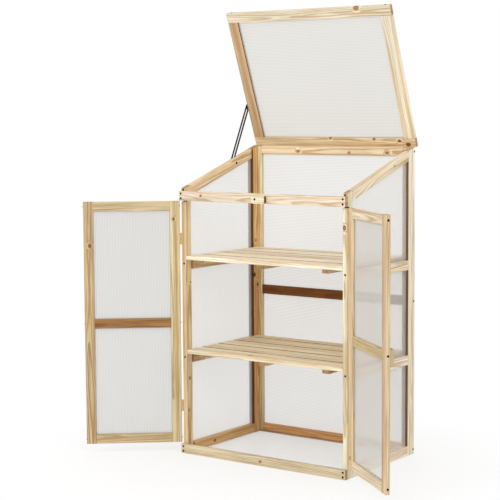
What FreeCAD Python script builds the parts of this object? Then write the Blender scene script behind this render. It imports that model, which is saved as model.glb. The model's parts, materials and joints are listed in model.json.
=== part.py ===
import FreeCAD, Part
import math
import os

# Three-tier wooden mini greenhouse: two side frames with a sloping top, boards
# lapped on their front and a framed back, two lift-out slatted shelves, a pair
# of doors and a hinged lid held up by a slotted stay. Millimetres, +Z up, +X to
# the right of someone facing the doors, +Y to the back. The origin is on the
# ground, in the middle of the front bottom rail's underside.

# Outside sizes of the standing frame
overall_width = 760.0
side_frame_depth = 474.0
front_post_height = 1043.0
roof_pitch = 17.7

# Sawn timber
board_thickness = 16.0
top_rail_let_in = 3.0
top_rail_notch_gap = 5.0
top_rail_slot_depth = 12.0
rail_height = 37.0
front_post_width = 20.0
bearer_width = 28.0
post_depth = 34.0
sloping_rail_width = 20.0
sloping_rail_height = 37.0
back_stile_width = 46.0
edge_ease = 1.5
button_ease = 1.0
steel_ease = 0.3
parallel_limit = 1e-6

# Heights of the rails
front_top_rail_top = 1033.0
lower_shelf_rail_top = 395.0
upper_shelf_rail_top = 764.0
back_middle_rail_top = 621.0

# Twin-wall sheets, held in grooves
panel_thickness = 4.0
panel_play = 0.25
panel_tongue = 5.0
groove_depth = 6.0
side_panel_recess = 10.5
floor_panel_height = 4.0
floor_panel_end_gap = 1.0

# Slatted shelves
slat_thickness = 15.0
slat_gap = 12.5
front_slat_width = 88.0
back_slat_width = 51.0
shelf_end_gap = 1.0
shelf_back_gap = 8.0
shelf_seat_gap = 0.3
full_slat_count = 3
batten_width = 30.0
batten_thickness = 14.0
batten_spacing = 286.0
batten_inset = 1.0
batten_count = 3

# Doors
door_centre_gap = 10.0
door_post_gap = 0.3
door_rail_gap = 3.0
door_outer_inset = 0.6
door_stile_width = 38.0
door_rail_height = 37.0
door_middle_rail_centre = 516.0
left_door_open = 140.0
right_door_open = 141.5

# Lid
lid_side_inset = 2.0
lid_length = 568.0
lid_hinge_rail_width = 36.0
lid_front_rail_width = 40.0
lid_stile_width = 46.0
lid_seat_gap = 0.3
lid_open = 86.6
lid_axis_drop = 6.5

# Butt hinges of doors and lid
hinge_length = 45.0
hinge_leaf_thickness = 1.5
hinge_leaf_reach = 16.0
lid_leaf_offset = 0.9
hinge_knuckle_radius = 3.0
hinge_pin_radius = 1.5
hinge_pin_play = 0.05
hinge_knuckle_gap = 0.4
hinge_knuckle_count = 5
hinge_joint_gap = 0.3
door_hinge_heights = (187.0, 846.0)
lid_hinge_offset = 250.0

# Turn buttons
button_length = 60.0
button_height = 31.0
button_thickness = 14.0
button_pivot_inset = 17.0
button_corner = 7.0
button_gap = 0.4
rail_button_x = -8.0
rail_button_z = 1012.5
door_button_z = 522.5

# Slotted stay of the lid
stay_width = 22.0
stay_thickness = 3.0
stay_slot_width = 8.4
stay_pivot_reach = 170.0
stay_bolt_radius = 3.0
stay_slot_start = 15.0
stay_slot_spare = 2.0
stay_end_margin = 12.0
stay_side_play = 0.5
stay_washer_radius = 8.0
stay_washer_thickness = 1.5
stay_bolt_head_radius = 4.8
stay_bolt_head_height = 2.6
stay_pivot_head_radius = 6.0
stay_pivot_head_height = 2.0
stay_bolt_tail = 3.0
wing_nut_radius = 5.5
wing_nut_height = 6.0
wing_span = 26.0
wing_height = 12.0
wing_thickness = 2.5
wing_root_overlap = 1.0
stay_pivot_radius = 3.0
stay_pivot_play = 0.08
stay_pivot_depth = 20.0

# Wood screws: shank radius, head radius, head height, length
long_screw = (2.2, 4.2, 1.4, 60.0)
short_screw = (2.2, 4.2, 1.4, 38.0)
batten_screw = (1.8, 3.4, 1.2, 22.0)
hinge_screw = (1.2, 2.2, 0.8, 12.0)
side_screw = (1.8, 3.4, 1.2, 16.0)
screw_hole_play = 0.1
screw_hole_spare = 1.0
sunk_head_depth = 0.4
rail_screw_spread = 9.0
shelf_rail_screw_rise = 4.0
slat_screw_edge = 18.0
hinge_screw_reach = 11.5
hinge_screw_spread = 15.5
button_screw_length = 28.0
slope_screw_rise = 4.5

# Values worked out from the sizes above
half_width = overall_width / 2.0
post_front = board_thickness / 2.0
post_back = post_front + side_frame_depth
back_face = post_back + board_thickness
pitch = math.radians(roof_pitch)
groove_width = panel_thickness + 2.0 * panel_play
front_post_inner = half_width - front_post_width
bearer_inner = half_width - bearer_width
panel_outer = half_width - side_panel_recess
front_bay = post_front + post_depth
back_bay = post_back - post_depth
hinge_axis_out = hinge_knuckle_radius + hinge_knuckle_gap
door_axis_x = half_width + hinge_axis_out
lid_axis_y = back_face + hinge_axis_out
shelf_length_half = front_post_inner - shelf_end_gap
slats_depth = side_frame_depth - shelf_end_gap - shelf_back_gap - (full_slat_count + 1) * slat_gap
slat_width = (slats_depth - front_slat_width - back_slat_width) / full_slat_count
lid_width = overall_width - 2.0 * lid_side_inset

X_AXIS = FreeCAD.Vector(1, 0, 0)
Y_AXIS = FreeCAD.Vector(0, 1, 0)
Z_AXIS = FreeCAD.Vector(0, 0, 1)


def vec(x, y, z):
    return FreeCAD.Vector(x, y, z)


def roof_height(y):
    """Height of the plane that the closed lid rests on, at a place along the depth."""
    return front_post_height + (y - post_front) * math.tan(pitch)


def box(x0, x1, y0, y1, z0, z1):
    low = vec(min(x0, x1), min(y0, y1), min(z0, z1))
    return Part.makeBox(abs(x1 - x0), abs(y1 - y0), abs(z1 - z0), low)


def eased(solid, along):
    """Round the long edges of a timber that run along a direction."""
    edges = [e for e in solid.Edges if e.tangentAt(e.FirstParameter).cross(along).Length < parallel_limit]
    return solid.makeFillet(edge_ease, edges)


def timber(x0, x1, y0, y1, z0, z1, along):
    return eased(box(x0, x1, y0, y1, z0, z1), along)


def prism_yz(points, x0, x1):
    """A solid with an outline in the YZ plane, from x0 to x1."""
    corners = [vec(x0, y, z) for y, z in points]
    face = Part.Face(Part.makePolygon(corners + corners[:1]))
    return face.extrude(vec(x1 - x0, 0, 0))


def mirrored(solid):
    return solid.mirror(vec(0, 0, 0), X_AXIS)


def turned(solid, centre, axis, angle):
    copy = solid.copy()
    copy.rotate(centre, axis, angle)
    return copy


def screw(point, into, size):
    """A domed wood screw: the head stands on the surface, the shank goes in."""
    shank_radius, head_radius, head_height, length = size
    out = vec(-into.x, -into.y, -into.z)
    head = Part.makeCylinder(head_radius, head_height, point, out)
    rim = [e for e in head.Edges if e.Closed and (e.CenterOfMass - point).dot(out) > head_height / 2.0]
    head = head.makeFillet(head_height * 0.6, rim)
    shank = Part.makeCylinder(shank_radius, length, point, into)
    return head.fuse(shank)


def screw_hole(point, into, size):
    return Part.makeCylinder(size[0] + screw_hole_play, size[3] + screw_hole_spare, point, into)


def sunk(point, into, size):
    """Move a screw in until its head lies just below the surface."""
    return (point + into * (size[2] + sunk_head_depth), into, size)


def sunk_hole(point, into, size):
    """The wider hole that a sunk screw's head lies in."""
    depth = size[2] + sunk_head_depth
    return Part.makeCylinder(size[1] + screw_hole_play, depth, point, into * -1.0)


def drill(pieces, screws):
    """Bore each piece where a screw of the list passes through it."""
    for point, into, size in screws:
        tool = screw_hole(point, into, size)
        for name in pieces:
            if pieces[name].BoundBox.intersect(tool.BoundBox):
                pieces[name] = pieces[name].cut(tool)


def screw_group(screws):
    return Part.makeCompound([screw(point, into, size) for point, into, size in screws])


def side_frame():
    """The right side frame: two posts, four rails and three sheets in their grooves."""
    outer = half_width
    groove_in = panel_outer - groove_width
    pieces = {}

    def post(y0, y1, width, open_side):
        solid = timber(outer - width, outer, y0, y1, 0.0, roof_height(y1), Z_AXIS)
        above = prism_yz(
            [(y0, roof_height(y0)), (y1, roof_height(y1)), (y1, roof_height(y1) + rail_height),
             (y0, roof_height(y1) + rail_height)], outer - width, outer)
        solid = solid.cut(above)
        cut_y = y1 - groove_depth if open_side > 0 else y0 + groove_depth
        edge_y = y1 if open_side > 0 else y0
        return solid.cut(box(groove_in, panel_outer, cut_y, edge_y, 0.0, roof_height(y1)))

    front_post = post(post_front, front_bay, front_post_width, 1)
    rail_low = front_top_rail_top - rail_height
    notch = box(front_post_inner, outer, post_front, post_front + top_rail_let_in, rail_low, front_top_rail_top)
    # Below the rail the saw went deeper, which leaves a dark slot there.
    slot = box(front_post_inner, outer, post_front, post_front + top_rail_slot_depth,
               rail_low - top_rail_notch_gap, rail_low)
    pieces["front_post"] = front_post.cut(notch).cut(slot)
    pieces["back_post"] = post(back_bay, post_back, bearer_width, -1)

    def level_rail(top, grooves):
        solid = timber(bearer_inner, outer, front_bay, back_bay, top - rail_height, top, Y_AXIS)
        if "top" in grooves:
            solid = solid.cut(box(groove_in, panel_outer, front_bay, back_bay, top - groove_depth, top))
        if "bottom" in grooves:
            low = top - rail_height
            solid = solid.cut(box(groove_in, panel_outer, front_bay, back_bay, low, low + groove_depth))
        return solid

    pieces["bottom_rail"] = level_rail(rail_height, ("top",))
    pieces["lower_shelf_rail"] = level_rail(lower_shelf_rail_top, ("top", "bottom"))
    pieces["upper_shelf_rail"] = level_rail(upper_shelf_rail_top, ("top", "bottom"))

    drop = sloping_rail_height / math.cos(pitch)
    slope = vec(0, math.cos(pitch), math.sin(pitch))
    under = [(y, roof_height(y) - drop) for y in (front_bay, back_bay)]
    over = [(y, roof_height(y)) for y in (back_bay, front_bay)]
    sloping = eased(prism_yz(under + over, outer - sloping_rail_width, outer), slope)
    lift = groove_depth / math.cos(pitch)
    groove = prism_yz(under + [(y, z + lift) for y, z in reversed(under)], groove_in, panel_outer)
    pieces["sloping_rail"] = sloping.cut(groove)

    y0 = front_bay - panel_tongue
    y1 = back_bay + panel_tongue
    x0 = groove_in + panel_play
    x1 = panel_outer - panel_play
    tongue_rise = panel_tongue / math.cos(pitch) - drop
    sheets = [
        box(x0, x1, y0, y1, rail_height - panel_tongue,
            lower_shelf_rail_top - rail_height + panel_tongue),
        box(x0, x1, y0, y1, lower_shelf_rail_top - panel_tongue,
            upper_shelf_rail_top - rail_height + panel_tongue),
        prism_yz([(y0, upper_shelf_rail_top - panel_tongue), (y1, upper_shelf_rail_top - panel_tongue),
                  (y1, roof_height(y1) + tongue_rise), (y0, roof_height(y0) + tongue_rise)], x0, x1),
    ]
    pieces["side_panels"] = Part.makeCompound(sheets)
    return pieces


def front_rails():
    """The top board, let a little into the posts, and the bottom one, which holds the floor."""
    y0 = post_front - board_thickness
    top = timber(-half_width, half_width, y0, post_front + top_rail_let_in,
                 front_top_rail_top - rail_height, front_top_rail_top, X_AXIS)
    bottom = timber(-half_width, half_width, y0, post_front, 0.0, rail_height, X_AXIS)
    return {"front_top_rail": top, "front_bottom_rail": bottom.cut(floor_groove())}


def floor_groove():
    """The slot along front and back rails that the floor sheet's edges sit in."""
    half = bearer_inner - floor_panel_end_gap + panel_play
    return box(-half, half, post_front - groove_depth, post_back + groove_depth,
               floor_panel_height - panel_play, floor_panel_height + panel_thickness + panel_play)


def floor_panel():
    half = bearer_inner - floor_panel_end_gap
    return box(-half, half, post_front - panel_tongue, post_back + panel_tongue,
               floor_panel_height, floor_panel_height + panel_thickness)


def back_frame():
    """Stiles lapped on the back posts, three rails between them and two sheets."""
    inner = half_width - back_stile_width
    height = roof_height(back_face)
    above = prism_yz([(post_back, roof_height(post_back)), (back_face, height),
                      (back_face, height + rail_height), (post_back, height + rail_height)],
                     -half_width, half_width)
    groove_y0 = post_back + (board_thickness - groove_width) / 2.0
    groove_y1 = groove_y0 + groove_width
    pieces = {}
    stile = timber(inner, half_width, post_back, back_face, 0.0, height, Z_AXIS).cut(above)
    stile = stile.cut(box(inner, inner + groove_depth, groove_y0, groove_y1, 0.0, height))
    stile = stile.cut(floor_groove())
    pieces["back_right_stile"] = stile
    pieces["back_left_stile"] = mirrored(stile)

    def rail(top, grooves):
        low = top - rail_height
        solid = timber(-inner, inner, post_back, back_face, low, top, X_AXIS)
        if "top" in grooves:
            solid = solid.cut(box(-inner, inner, groove_y0, groove_y1, top - groove_depth, top))
        if "bottom" in grooves:
            solid = solid.cut(box(-inner, inner, groove_y0, groove_y1, low, low + groove_depth))
        return solid

    pieces["back_top_rail"] = rail(height, ("bottom",)).cut(above)
    pieces["back_middle_rail"] = rail(back_middle_rail_top, ("top", "bottom"))
    pieces["back_bottom_rail"] = rail(rail_height, ("top",)).cut(floor_groove())
    half = inner + panel_tongue
    y0 = groove_y0 + panel_play
    y1 = groove_y1 - panel_play
    pieces["back_panels"] = Part.makeCompound([
        box(-half, half, y0, y1, rail_height - panel_tongue,
            back_middle_rail_top - rail_height + panel_tongue),
        box(-half, half, y0, y1, back_middle_rail_top - panel_tongue,
            height - rail_height + panel_tongue),
    ])
    return pieces


def slat_rows():
    """Front edge, width and half length of each slat of a shelf, from front to back."""
    y = post_front + shelf_end_gap
    rows = [(y, front_slat_width, shelf_length_half)]
    y += front_slat_width + slat_gap
    for _ in range(full_slat_count):
        rows.append((y, slat_width, shelf_length_half))
        y += slat_width + slat_gap
    rows.append((y, back_slat_width, bearer_inner - shelf_end_gap))
    return rows


def batten_places():
    first = -batten_spacing * (batten_count - 1) / 2.0
    return [first + i * batten_spacing for i in range(batten_count)]


def shelf(rail_top):
    """One shelf: slats across, battens under them, screwed together from below."""
    low = rail_top + shelf_seat_gap
    high = low + slat_thickness
    under = low - batten_thickness
    rows = slat_rows()
    slats = [timber(-half, half, y, y + width, low, high, X_AXIS) for y, width, half in rows]
    y0 = post_front + batten_inset
    y1 = rows[-1][0] + rows[-1][1] - batten_inset
    battens = [timber(x - batten_width / 2.0, x + batten_width / 2.0, y0, y1, under, low, Y_AXIS)
               for x in batten_places()]
    screws = []
    for x in batten_places():
        for y, width, _ in rows:
            for place in (y + slat_screw_edge, y + width - slat_screw_edge):
                screws.append((vec(x, place, under), Z_AXIS, batten_screw))
    pieces = {"slats": Part.makeCompound(slats), "battens": Part.makeCompound(battens)}
    drill(pieces, screws)
    pieces["screws"] = screw_group(screws)
    return pieces


def leaf_start():
    return hinge_knuckle_radius + hinge_knuckle_gap


def knuckles(own, bore, offset):
    """Every other knuckle along Z, each with the tab that ties it to its leaf's plate."""
    step = hinge_length / hinge_knuckle_count
    start = -hinge_length / 2.0
    last = hinge_knuckle_count - 1
    solids = []
    for i in range(0 if own == "fixed" else 1, hinge_knuckle_count, 2):
        z0 = start + i * step + (hinge_joint_gap / 2.0 if i > 0 else 0.0)
        z1 = start + (i + 1) * step - (hinge_joint_gap / 2.0 if i < last else 0.0)
        barrel = Part.makeCylinder(hinge_knuckle_radius, z1 - z0, vec(0, 0, z0), Z_AXIS)
        tab = box(-offset, -offset + hinge_leaf_thickness, 0.0, leaf_start(), z0, z1)
        link = box(-offset, 0.0, 0.0, hinge_leaf_thickness, z0, z1)
        hole = Part.makeCylinder(bore, z1 - z0, vec(0, 0, z0), Z_AXIS)
        solids.append(barrel.fuse([tab, link]).cut(hole))
    return solids


def hinge_leaf(own, bore, offset):
    """A leaf whose pin stands on the Z axis: its back lies at X = -offset, its plate along +Y."""
    half = hinge_length / 2.0
    plate = box(-offset, -offset + hinge_leaf_thickness, leaf_start(), hinge_leaf_reach, -half, half)
    return plate.fuse(knuckles(own, bore, offset)).removeSplitter()


def leaf_screws(place, offset):
    """The three screws of a leaf, driven through its plate."""
    x = -offset + hinge_leaf_thickness
    into = place.Rotation.multVec(vec(-1, 0, 0))
    return [(place.multVec(vec(x, hinge_screw_reach, z)), into, hinge_screw)
            for z in (-hinge_screw_spread, 0.0, hinge_screw_spread)]


def leaf_turn(new_x, new_y):
    """The turn that takes a leaf's own +X to new_x and its +Y to new_y."""
    new_z = new_x.cross(new_y)
    matrix = FreeCAD.Matrix(new_x.x, new_y.x, new_z.x, 0,
                            new_x.y, new_y.y, new_z.y, 0,
                            new_x.z, new_y.z, new_z.z, 0,
                            0, 0, 0, 1)
    return FreeCAD.Placement(matrix).Rotation


def hinge(at, out, fixed_way, moving_way, moving_offset):
    """One butt hinge: leaves, pin and screws, with the leaves' plates seen from outside."""
    fixed_place = FreeCAD.Placement(at, leaf_turn(out, fixed_way))
    moving_place = FreeCAD.Placement(at, leaf_turn(out, moving_way))
    fixed_leaf = hinge_leaf("fixed", hinge_pin_radius, hinge_axis_out)
    fixed_leaf.Placement = fixed_place
    moving_leaf = hinge_leaf("moving", hinge_pin_radius + hinge_pin_play, moving_offset)
    moving_leaf.Placement = moving_place
    half = hinge_length / 2.0
    pin = Part.makeCylinder(hinge_pin_radius, hinge_length, vec(0, 0, -half), Z_AXIS)
    pin.Placement = fixed_place
    return {"fixed_leaf": fixed_leaf, "moving_leaf": moving_leaf, "pin": pin,
            "fixed_screws": leaf_screws(fixed_place, hinge_axis_out),
            "moving_screws": leaf_screws(moving_place, moving_offset)}


def door_hinge(side, height):
    """A door's hinge on the outer edge: one leaf on the post's side, one on the door's edge."""
    at = vec(side * door_axis_x, post_front, height)
    return hinge(at, vec(side, 0, 0), Y_AXIS, vec(0, -1, 0), hinge_axis_out)


def lid_hinge(x):
    """A lid hinge, drawn with the lid flat: one leaf down the back, one up the lid's edge."""
    at = vec(x, lid_axis_y, lid_axis_height())
    return hinge(at, Y_AXIS, vec(0, 0, -1), Z_AXIS, lid_leaf_offset)


def door(side, opening):
    """One door, built shut on the right, mirrored for the left and then swung open."""
    y1 = post_front - door_post_gap
    y0 = y1 - board_thickness
    outer = half_width - door_outer_inset
    inner = door_centre_gap / 2.0
    low = rail_height + door_rail_gap
    high = front_top_rail_top - rail_height - door_rail_gap
    groove_y0 = y0 + (board_thickness - groove_width) / 2.0
    groove_y1 = groove_y0 + groove_width
    pieces = {}

    hinge_stile = timber(outer - door_stile_width, outer, y0, y1, low, high, Z_AXIS)
    left_of_hinge = outer - door_stile_width
    pieces["hinge_stile"] = hinge_stile.cut(
        box(left_of_hinge, left_of_hinge + groove_depth, groove_y0, groove_y1, low, high))
    free_stile = timber(inner, inner + door_stile_width, y0, y1, low, high, Z_AXIS)
    right_of_free = inner + door_stile_width
    pieces["free_stile"] = free_stile.cut(
        box(right_of_free - groove_depth, right_of_free, groove_y0, groove_y1, low, high))

    def rail(bottom, grooves):
        top = bottom + door_rail_height
        solid = timber(right_of_free, left_of_hinge, y0, y1, bottom, top, X_AXIS)
        if "top" in grooves:
            solid = solid.cut(box(right_of_free, left_of_hinge, groove_y0, groove_y1,
                                  top - groove_depth, top))
        if "bottom" in grooves:
            solid = solid.cut(box(right_of_free, left_of_hinge, groove_y0, groove_y1,
                                  bottom, bottom + groove_depth))
        return solid

    middle_low = door_middle_rail_centre - door_rail_height / 2.0
    pieces["top_rail"] = rail(high - door_rail_height, ("bottom",))
    pieces["middle_rail"] = rail(middle_low, ("top", "bottom"))
    pieces["bottom_rail"] = rail(low, ("top",))

    x0 = right_of_free - panel_tongue
    x1 = left_of_hinge + panel_tongue
    sheet_y0 = groove_y0 + panel_play
    sheet_y1 = groove_y1 - panel_play
    pieces["panels"] = Part.makeCompound([
        box(x0, x1, sheet_y0, sheet_y1, low + door_rail_height - panel_tongue, middle_low + panel_tongue),
        box(x0, x1, sheet_y0, sheet_y1, middle_low + door_rail_height - panel_tongue,
            high - door_rail_height + panel_tongue),
    ])

    mid_y = (y0 + y1) / 2.0
    screws = []
    for z in (low + door_rail_height / 2.0, door_middle_rail_centre, high - door_rail_height / 2.0):
        screws.append((vec(inner, mid_y, z), X_AXIS, long_screw))
        screws.append((vec(outer, mid_y, z), vec(-1, 0, 0), long_screw))
    if side > 0:
        pivot = vec(inner + door_stile_width / 2.0, y0 - button_gap - button_thickness, door_button_z)
        screws.append((pivot, Y_AXIS, button_screw()))

    leaves = []
    for height in door_hinge_heights:
        parts = door_hinge(1, height)
        leaves.append(parts["moving_leaf"])
        screws.extend(parts["moving_screws"])
    pieces["hinge_leaves"] = Part.makeCompound(leaves)
    drill(pieces, screws)
    pieces["screws"] = screw_group(screws)

    if side < 0:
        pieces = {name: mirrored(solid) for name, solid in pieces.items()}
    axis_point = vec(side * door_axis_x, post_front, 0)
    return {name: turned(solid, axis_point, Z_AXIS, side * opening) for name, solid in pieces.items()}


def button_screw():
    return (short_screw[0], short_screw[1], short_screw[2], button_screw_length)


def turn_button(bore):
    """A wooden turn button: its screw on the Y axis, the long arm along +X, front at -Y."""
    x0 = -button_pivot_inset
    half = button_height / 2.0
    block = box(x0, x0 + button_length, 0.0, button_thickness, -half, half)
    upright = [e for e in block.Edges if e.tangentAt(e.FirstParameter).cross(Y_AXIS).Length < parallel_limit]
    block = block.makeFillet(button_corner, upright)
    front = [e for e in block.Edges if e.BoundBox.YMax < button_ease]
    block = block.makeFillet(button_ease, front)
    hole = Part.makeCylinder(bore, button_thickness, vec(0, 0, 0), Y_AXIS)
    return block.cut(hole)


def rail_button():
    at = vec(rail_button_x, post_front - board_thickness - button_gap - button_thickness, rail_button_z)
    block = turn_button(short_screw[0] + screw_hole_play)
    block.translate(at)
    return block


def rail_button_screw():
    at = vec(rail_button_x, post_front - board_thickness - button_gap - button_thickness, rail_button_z)
    return (at, Y_AXIS, button_screw())


def door_button():
    """The right door's turn button, hanging with its long arm down, swung with the door."""
    block = turn_button(short_screw[0] + screw_hole_play)
    block.rotate(vec(0, 0, 0), Y_AXIS, 90)
    door_front = post_front - door_post_gap - board_thickness
    block.translate(vec(door_centre_gap / 2.0 + door_stile_width / 2.0,
                        door_front - button_gap - button_thickness, door_button_z))
    return turned(block, vec(door_axis_x, post_front, 0), Z_AXIS, right_door_open)


def lid_axis_height():
    return roof_height(back_face) - lid_axis_drop


def lid_underside():
    """How far the lid's underside lies above its hinge axis, square to the lid."""
    return (roof_height(lid_axis_y) + lid_seat_gap - lid_axis_height()) * math.cos(pitch)


def lid_swung(solid):
    """Take a piece drawn with the lid flat to the lid's open place."""
    return turned(solid, vec(0, lid_axis_y, lid_axis_height()), X_AXIS, roof_pitch - lid_open)


def lid():
    """The lid: two full-width rails, two stiles between them and a sheet, drawn flat."""
    y1 = lid_axis_y - lid_leaf_offset
    y0 = y1 - lid_length
    z0 = lid_axis_height() + lid_underside()
    z1 = z0 + board_thickness
    half = lid_width / 2.0
    inner = half - lid_stile_width
    groove_z0 = z0 + (board_thickness - groove_width) / 2.0
    groove_z1 = groove_z0 + groove_width
    rail_y0 = y0 + lid_front_rail_width
    rail_y1 = y1 - lid_hinge_rail_width
    groove_half = inner + groove_depth
    pieces = {}
    hinge_rail = timber(-half, half, rail_y1, y1, z0, z1, X_AXIS)
    pieces["hinge_rail"] = hinge_rail.cut(
        box(-groove_half, groove_half, rail_y1, rail_y1 + groove_depth, groove_z0, groove_z1))
    front_rail = timber(-half, half, y0, rail_y0, z0, z1, X_AXIS)
    pieces["front_rail"] = front_rail.cut(
        box(-groove_half, groove_half, rail_y0 - groove_depth, rail_y0, groove_z0, groove_z1))
    stile = timber(inner, half, rail_y0, rail_y1, z0, z1, Y_AXIS)
    stile = stile.cut(box(inner, inner + groove_depth, rail_y0, rail_y1, groove_z0, groove_z1))
    pieces["right_stile"] = stile
    pieces["left_stile"] = mirrored(stile)
    pieces["panel"] = box(-inner - panel_tongue, inner + panel_tongue,
                          rail_y0 - panel_tongue, rail_y1 + panel_tongue,
                          groove_z0 + panel_play, groove_z1 - panel_play)
    mid_z = (z0 + z1) / 2.0
    screws = []
    for x in (inner + lid_stile_width / 2.0, -inner - lid_stile_width / 2.0):
        screws.append((vec(x, y0, mid_z), Y_AXIS, long_screw))
        screws.append((vec(x, y1, mid_z), vec(0, -1, 0), long_screw))
    leaves = []
    for x in (-lid_hinge_offset, lid_hinge_offset):
        parts = lid_hinge(x)
        leaves.append(parts["moving_leaf"])
        screws.extend(parts["moving_screws"])
    pieces["hinge_leaves"] = Part.makeCompound(leaves)
    pivot = stay_pivot_flat()
    pivot_hole = (vec(-half, pivot.y, pivot.z), X_AXIS, (stay_pivot_radius, 0.0, 0.0, stay_pivot_depth))
    drill(pieces, screws + [pivot_hole])
    pieces["screws"] = screw_group(screws)
    return {name: lid_swung(solid) for name, solid in pieces.items()}


def stay_pivot_flat():
    """The stay's pivot on the lid's left edge, with the lid drawn flat."""
    z = lid_axis_height() + lid_underside() + board_thickness / 2.0
    return vec(0.0, lid_axis_y - stay_pivot_reach, z)


def stay_pivot_open():
    """The same pivot with the lid open."""
    turn = FreeCAD.Rotation(X_AXIS, roof_pitch - lid_open)
    axis_point = vec(0, lid_axis_y, lid_axis_height())
    return axis_point + turn.multVec(stay_pivot_flat() - axis_point)


def stay_bolt_point():
    """The bolt, halfway up the sloping rail and as far from the lid's hinge axis as the pivot."""
    reach = (stay_pivot_flat() - vec(0, lid_axis_y, lid_axis_height())).Length
    below = lid_axis_height() - roof_height(lid_axis_y) + sloping_rail_height / math.cos(pitch) / 2.0
    aside = below * math.cos(pitch)
    along = math.sqrt(reach * reach - aside * aside) - below * math.sin(pitch)
    y = lid_axis_y - along * math.cos(pitch)
    return vec(0.0, y, roof_height(y) - sloping_rail_height / math.cos(pitch) / 2.0)


def stay_layers():
    """X of the stay arm's inner and outer face and of the outer washer's outer face."""
    washer_out = -half_width - stay_washer_thickness
    arm_in = washer_out - stay_side_play
    arm_out = arm_in - stay_thickness
    outer_washer_in = arm_out - stay_side_play
    return washer_out, arm_in, arm_out, outer_washer_in, outer_washer_in - stay_washer_thickness


def stay_arm():
    """Slotted steel strip from the lid's edge down past the bolt in the sloping rail."""
    pivot = stay_pivot_open()
    bolt = stay_bolt_point()
    reach = (bolt - pivot).Length
    slot_end = reach + stay_slot_spare
    length = slot_end + stay_slot_width / 2.0 + stay_end_margin - stay_width / 2.0
    _, arm_in, arm_out, _, _ = stay_layers()
    half = stay_width / 2.0

    def strip(r, z0, z1):
        flat = box(arm_out, arm_in, -r, r, z0, z1)
        ends = [Part.makeCylinder(r, arm_in - arm_out, vec(arm_out, 0, z), X_AXIS) for z in (z0, z1)]
        return flat.fuse(ends)

    arm = strip(half, -length, 0.0)
    arm = arm.cut(strip(stay_slot_width / 2.0, -slot_end, -stay_slot_start))
    hole = Part.makeCylinder(stay_pivot_radius + stay_pivot_play, arm_in - arm_out,
                             vec(arm_out, 0, 0), X_AXIS)
    arm = arm.cut(hole).removeSplitter()
    rim = [e for e in arm.Edges if abs(e.BoundBox.XLength) < parallel_limit]
    arm = arm.makeFillet(steel_ease, rim)
    lean = math.degrees(math.atan2(bolt.y - pivot.y, pivot.z - bolt.z))
    arm.rotate(vec(0, 0, 0), X_AXIS, lean)
    arm.translate(vec(0, pivot.y, pivot.z))
    return arm


def stay_pivot_screw():
    """Shouldered screw that the stay swings on, with its spacer, in the lid's edge."""
    pivot = stay_pivot_open()
    _, arm_in, arm_out, _, _ = stay_layers()
    edge = -lid_width / 2.0
    at = lambda x: vec(x, pivot.y, pivot.z)
    spacer_end = arm_in + stay_side_play
    spacer = Part.makeCylinder(stay_pivot_head_radius, edge - spacer_end, at(spacer_end), X_AXIS)
    head_in = arm_out - stay_side_play
    shank = Part.makeCylinder(stay_pivot_radius, edge + stay_pivot_depth - head_in, at(head_in), X_AXIS)
    head = Part.makeCylinder(stay_pivot_head_radius, stay_pivot_head_height,
                             at(head_in - stay_pivot_head_height), X_AXIS)
    return shank.fuse([spacer, head])


def stay_bolt():
    """Bolt through the left sloping rail, its small domed head inside the greenhouse."""
    point = stay_bolt_point()
    inner_face = -half_width + sloping_rail_width
    nut_end = stay_layers()[4] - wing_nut_height
    at = lambda x: vec(x, point.y, point.z)
    tail = nut_end - stay_bolt_tail
    shank = Part.makeCylinder(stay_bolt_radius, inner_face - tail, at(tail), X_AXIS)
    head = Part.makeCylinder(stay_bolt_head_radius, stay_bolt_head_height, at(inner_face), X_AXIS)
    rim = [e for e in head.Edges if e.Closed and e.CenterOfMass.x > inner_face + stay_bolt_head_height / 2.0]
    return head.makeFillet(stay_bolt_head_height * 0.7, rim).fuse(shank)


def stay_wing_nut():
    """The wing nut and the two washers that the stay slides between."""
    point = stay_bolt_point()
    washer_out, _, _, outer_in, outer_out = stay_layers()
    bore = stay_bolt_radius + screw_hole_play
    at = lambda x: vec(x, point.y, point.z)
    ring = lambda r, x0, x1: Part.makeCylinder(r, x1 - x0, at(x0), X_AXIS).cut(
        Part.makeCylinder(bore, x1 - x0, at(x0), X_AXIS))
    washers = [ring(stay_washer_radius, washer_out, -half_width), ring(stay_washer_radius, outer_out, outer_in)]
    nut = ring(wing_nut_radius, outer_out - wing_nut_height, outer_out)
    wings = []
    for side in (-1, 1):
        y0 = point.y + side * (wing_nut_radius - wing_root_overlap)
        y1 = point.y + side * wing_span / 2.0
        x_low = outer_out - wing_height
        x_high = outer_out - wing_nut_height / 4.0
        outline = [vec(x_high, y0, 0), vec(x_high - wing_nut_height / 2.0, y1, 0), vec(x_low, y1, 0),
                   vec(outer_out - wing_nut_height, y0, 0)]
        face = Part.Face(Part.makePolygon(outline + outline[:1]))
        wing = face.extrude(vec(0, 0, wing_thickness))
        wing.translate(vec(0, 0, point.z - wing_thickness / 2.0))
        wings.append(wing)
    nut = nut.fuse(wings).cut(Part.makeCylinder(bore, wing_height, at(outer_out - wing_height), X_AXIS))
    return Part.makeCompound(washers + [nut.removeSplitter()])


def sunk_post_screws():
    """Long screws through the front posts into the shelf rails, sunk to clear the shut doors."""
    post_x = half_width - front_post_width / 2.0
    return [sunk(vec(side * post_x, post_front, z), Y_AXIS, long_screw)
            for side in (-1, 1) for z in shelf_screw_heights()]


def shelf_screw_heights():
    rise = shelf_rail_screw_rise - rail_height / 2.0
    return [top + rise for top in (lower_shelf_rail_top, upper_shelf_rail_top)]


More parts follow.
